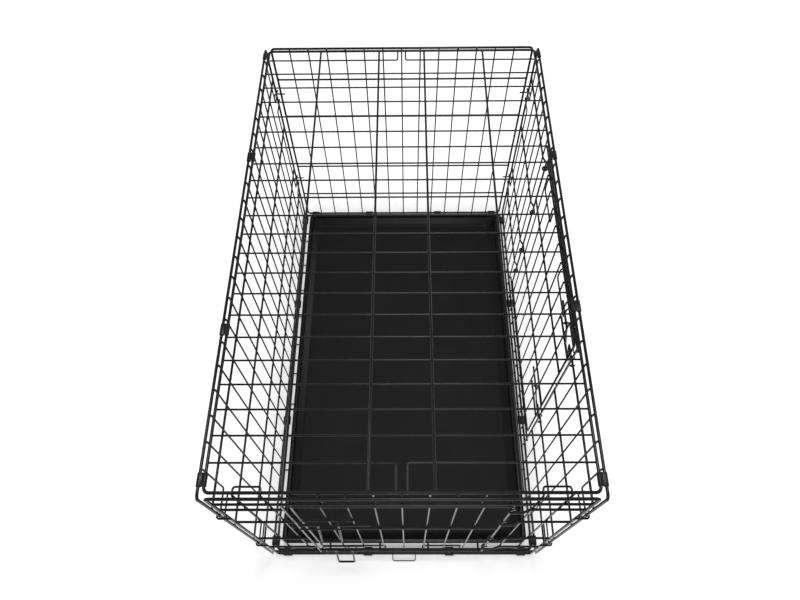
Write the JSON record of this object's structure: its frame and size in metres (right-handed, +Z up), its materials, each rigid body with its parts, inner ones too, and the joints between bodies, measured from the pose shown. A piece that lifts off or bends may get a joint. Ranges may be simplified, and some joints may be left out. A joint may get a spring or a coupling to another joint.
{
  "type": "dog cage",
  "caption": "Folding black wire dog cage, set up, with a hinged front door, a hinged side door, slide-bolt latches and a pull-out plastic floor tray.",
  "frame": {"origin": "on the floor, under the middle of the whole object's box at rest", "axes": "+X to the right seen from the front door, +Y from the front door to the back, +Z up"},
  "size_m": [0.6138, 0.944, 0.641],
  "materials": {
    "black_wire": "satin black electro-coated steel wire",
    "clip_steel": "black coated folded sheet steel",
    "tray_plastic": "finely grained black moulded plastic"
  },
  "bodies": {
    "cage": {"bottom_frame": "black_wire", "bottom_long_wires": "black_wire", "bottom_cross_wires": "black_wire", "top_frame": "black_wire", "top_long_wires": "black_wire", "top_cross_wires": "black_wire", "top_notched_wires": "black_wire", "left_side_frame": "black_wire", "left_side_window_wires": "black_wire", "right_side_frame": "black_wire", "right_side_window_wires": "black_wire", "left_side_upright_wires": "black_wire", "left_side_long_wires": "black_wire", "right_side_upright_wires": "black_wire", "right_side_long_wires": "black_wire", "side_door_hinge_wires": "black_wire", "side_door_surround": "black_wire", "side_door_stops": "black_wire", "front_top_loops": "black_wire", "rear_top_loops": "black_wire", "front_frame": "black_wire", "front_side_hooks": "black_wire", "rear_frame": "black_wire", "rear_side_hooks": "black_wire", "rear_upright_wires": "black_wire", "rear_cross_wires": "black_wire", "front_upright_wires": "black_wire", "front_door_surround": "black_wire", "front_door_stops": "black_wire", "front_cross_wires": "black_wire", "front_door_hinge_wires": "black_wire", "front_door_bolt_catches": "black_wire", "side_door_bolt_catches": "black_wire", "top_left_clips": "clip_steel", "top_right_clips": "clip_steel", "bottom_left_clips": "clip_steel", "bottom_right_clips": "clip_steel", "front_clips": "clip_steel", "rear_clips": "clip_steel"},
    "front_door": {"front_door_frame": "black_wire", "front_door_upright_wires": "black_wire", "front_door_cross_wires": "black_wire", "front_door_bolt_guides": "black_wire"},
    "side_door": {"side_door_frame": "black_wire", "side_door_upright_wires": "black_wire", "side_door_cross_wires": "black_wire", "side_door_bolt_guides": "black_wire"},
    "front_door_upper_bolt": {"front_door_upper_bolt": "black_wire"},
    "front_door_lower_bolt": {"front_door_lower_bolt": "black_wire"},
    "side_door_upper_bolt": {"side_door_upper_bolt": "black_wire"},
    "side_door_lower_bolt": {"side_door_lower_bolt": "black_wire"},
    "tray": {"tray": "tray_plastic"},
    "tray_stop": {"tray_stop": "black_wire"}
  },
  "joints": [
    {"name": "front_door_swing", "type": "hinge", "parent": "cage", "child": "front_door", "pos_m": [0.15857, -0.4488, 0.3154], "axis": [0, 0, -1], "range_deg": [-165, 0]},
    {"name": "side_door_swing", "type": "hinge", "parent": "cage", "child": "side_door", "pos_m": [0.28368, 0.2057, 0.3154], "axis": [0, 0, -1], "range_deg": [-165, 0]},
    {"name": "front_door_upper_bolt_slide", "type": "slide", "parent": "front_door", "child": "front_door_upper_bolt", "axis": [-1, 0, 0], "range_m": [0, 0.018]},
    {"name": "front_door_lower_bolt_slide", "type": "slide", "parent": "front_door", "child": "front_door_lower_bolt", "axis": [-1, 0, 0], "range_m": [0, 0.018]},
    {"name": "side_door_upper_bolt_slide", "type": "slide", "parent": "side_door", "child": "side_door_upper_bolt", "axis": [0, -1, 0], "range_m": [0, 0.018]},
    {"name": "side_door_lower_bolt_slide", "type": "slide", "parent": "side_door", "child": "side_door_lower_bolt", "axis": [0, -1, 0], "range_m": [0, 0.018]},
    {"name": "tray_slide", "type": "slide", "parent": "cage", "child": "tray", "axis": [0, 1, 0], "range_m": [-0.5, 0]},
    {"name": "tray_stop_swing", "type": "hinge", "parent": "cage", "child": "tray_stop", "pos_m": [-0.00843, -0.4488, 0.00475], "axis": [-1, 0, 0], "range_deg": [0, 90]}
  ]
}
